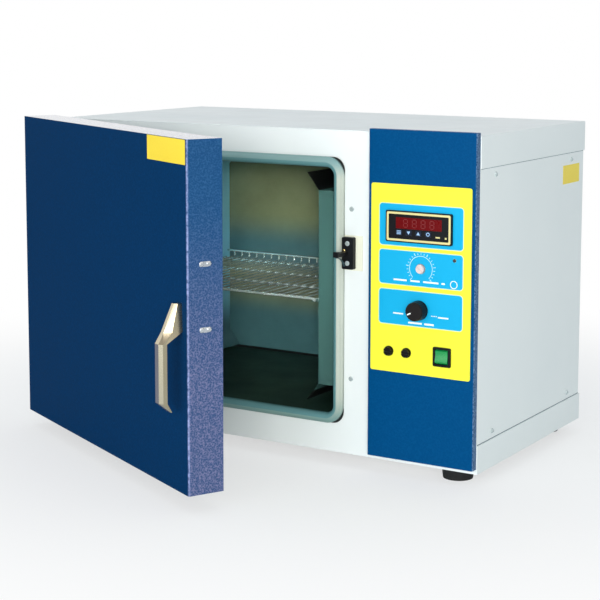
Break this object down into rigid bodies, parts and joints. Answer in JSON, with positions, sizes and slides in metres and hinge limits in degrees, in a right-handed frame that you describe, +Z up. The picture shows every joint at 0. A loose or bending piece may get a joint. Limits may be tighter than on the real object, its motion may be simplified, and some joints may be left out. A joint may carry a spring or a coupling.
{
  "type": "forced air oven",
  "caption": "Bench-top forced air oven with a side-hinged door, gasketed steel chamber, wire shelf, fan duct and a control column.",
  "frame": {"origin": "floor level under the middle of the cabinet's footprint, with the feet's undersides at z = 0", "axes": "+Z up, +X to the user's right, +Y to the back; the user stands on the -Y side"},
  "size_m": [0.6921, 0.6598, 0.4502],
  "materials": {
    "white_paint": "fine smooth powder coat, satin",
    "liner_steel": "matt rolled stainless sheet",
    "duct_steel": "matt rolled stainless sheet",
    "mineral_wool": "loose mineral wool",
    "plated_steel": "zinc plated",
    "gasket_rubber": "light grey silicone, matt",
    "shelf_wire": "electro-polished wire",
    "runner_steel": "folded stainless strip",
    "heater_tube": "heat-darkened tube",
    "motor_paint": "satin black",
    "fan_aluminium": "mill finish",
    "column_paint": "fine hammertone, semi-gloss",
    "plate_paint": "printed film, semi-gloss",
    "case_plastic": "moulded",
    "bezel_plastic": "moulded",
    "display_red": "dark red filter",
    "key_plastic": "moulded",
    "dial_metal": "nickel plated",
    "trimmer_plastic": "moulded",
    "lamp_lens": "clear lens, unlit",
    "knob_plastic": "moulded",
    "switch_plastic": "moulded",
    "rocker_green": "translucent green lens",
    "board_laminate": "solder mask",
    "latch_black": "satin black",
    "spring_steel": "bright spring strip",
    "screw_steel": "bright plated",
    "hinge_steel": "zinc plated",
    "foot_rubber": "moulded, matt",
    "door_paint": "fine hammertone, semi-gloss",
    "door_panel_steel": "matt rolled stainless sheet",
    "catch_steel": "plated",
    "handle_metal": "polished"
  },
  "bodies": {
    "cabinet": {"top_cover": "white_paint", "base_tray": "white_paint", "left_side_panel": "white_paint", "right_side_panel": "white_paint", "rear_panel": "white_paint", "front_frame": "white_paint", "latch_packer": "white_paint", "chamber_liner": "liner_steel", "left_duct_cover": "duct_steel", "right_duct_cover": "duct_steel", "chamber_insulation": "mineral_wool", "partition_wall": "plated_steel", "temperature_probe": "plated_steel", "shaft_sleeve": "plated_steel", "fan_motor_posts": "plated_steel", "fresh_air_pipe": "plated_steel", "exhaust_port": "plated_steel", "door_gasket": "gasket_rubber", "shelf_runners": "runner_steel", "heater_hairpins": "heater_tube", "fan_motor": "motor_paint", "control_column": "column_paint", "front_plate": "plate_paint", "controller_case": "case_plastic", "fuse_holders": "case_plastic", "mains_inlet": "case_plastic", "controller_bezel": "bezel_plastic", "display_window": "display_red", "alarm_dial_body": "dial_metal", "alarm_lamp": "lamp_lens", "mains_switch_frame": "switch_plastic", "power_board": "board_laminate", "latch_strike": "latch_black", "latch_spring": "spring_steel", "cabinet_screws": "screw_steel", "cabinet_hinge_leaves": "hinge_steel", "hinge_pins": "hinge_steel", "rubber_feet": "foot_rubber"},
    "fan": {"fan_shaft": "plated_steel", "fan_wheel": "fan_aluminium", "cooling_disc": "fan_aluminium"},
    "shelf": {"wire_shelf": "shelf_wire"},
    "key_1": {"key_1": "key_plastic"},
    "key_2": {"key_2": "key_plastic"},
    "key_3": {"key_3": "key_plastic"},
    "key_4": {"key_4": "key_plastic"},
    "alarm_trimmer": {"alarm_trimmer": "trimmer_plastic"},
    "air_valve": {"air_knob": "knob_plastic", "air_rod": "plated_steel", "air_damper": "plated_steel"},
    "switch_rocker": {"mains_switch_rocker": "rocker_green"},
    "fuse_cap_1": {"fuse_cap_1": "case_plastic"},
    "fuse_cap_2": {"fuse_cap_2": "case_plastic"},
    "door": {"door_shell": "door_paint", "door_inner_panel": "door_panel_steel", "door_insulation": "mineral_wool", "door_catch": "catch_steel", "door_handle": "handle_metal", "door_hinge_leaves": "hinge_steel", "door_edge_screws": "screw_steel"}
  },
  "joints": [
    {"name": "door_hinge", "type": "hinge", "parent": "cabinet", "child": "door", "pos_m": [-0.342, -0.1754, 0.231], "axis": [0, 0, -1], "range_deg": [-27, 90]},
    {"name": "shelf_slide", "type": "slide", "parent": "cabinet", "child": "shelf", "axis": [0, -1, 0], "range_m": [0, 0.027]},
    {"name": "fan_spin", "type": "hinge", "parent": "cabinet", "child": "fan", "pos_m": [0.1375, -0.021, 0.233], "axis": [1, 0, 0], "continuous": true},
    {"name": "key_1_press", "type": "slide", "parent": "cabinet", "child": "key_1", "axis": [0, 1, 0], "range_m": [0, 0.0006], "stiffness_N_per_m": 600},
    {"name": "key_2_press", "type": "slide", "parent": "cabinet", "child": "key_2", "axis": [0, 1, 0], "range_m": [0, 0.0006], "stiffness_N_per_m": 600},
    {"name": "key_3_press", "type": "slide", "parent": "cabinet", "child": "key_3", "axis": [0, 1, 0], "range_m": [0, 0.0006], "stiffness_N_per_m": 600},
    {"name": "key_4_press", "type": "slide", "parent": "cabinet", "child": "key_4", "axis": [0, 1, 0], "range_m": [0, 0.0006], "stiffness_N_per_m": 600},
    {"name": "trimmer_turn", "type": "hinge", "parent": "cabinet", "child": "alarm_trimmer", "pos_m": [0.2558, -0.1826, 0.27533], "axis": [0, 1, 0], "range_deg": [-135, 135]},
    {"name": "knob_turn", "type": "hinge", "parent": "cabinet", "child": "air_valve", "pos_m": [0.254, -0.1826, 0.22201], "axis": [0, -1, 0], "range_deg": [0, 90]},
    {"name": "rocker_tilt", "type": "hinge", "parent": "cabinet", "child": "switch_rocker", "pos_m": [0.2873, -0.1791, 0.165], "axis": [1, 0, 0], "range_deg": [0, 16]},
    {"name": "fuse_cap_1_turn", "type": "hinge", "parent": "cabinet", "child": "fuse_cap_1", "pos_m": [0.2109, -0.1826, 0.165], "axis": [0, -1, 0], "range_deg": [0, 60]},
    {"name": "fuse_cap_2_turn", "type": "hinge", "parent": "cabinet", "child": "fuse_cap_2", "pos_m": [0.2364, -0.1826, 0.165], "axis": [0, -1, 0], "range_deg": [0, 60]}
  ]
}
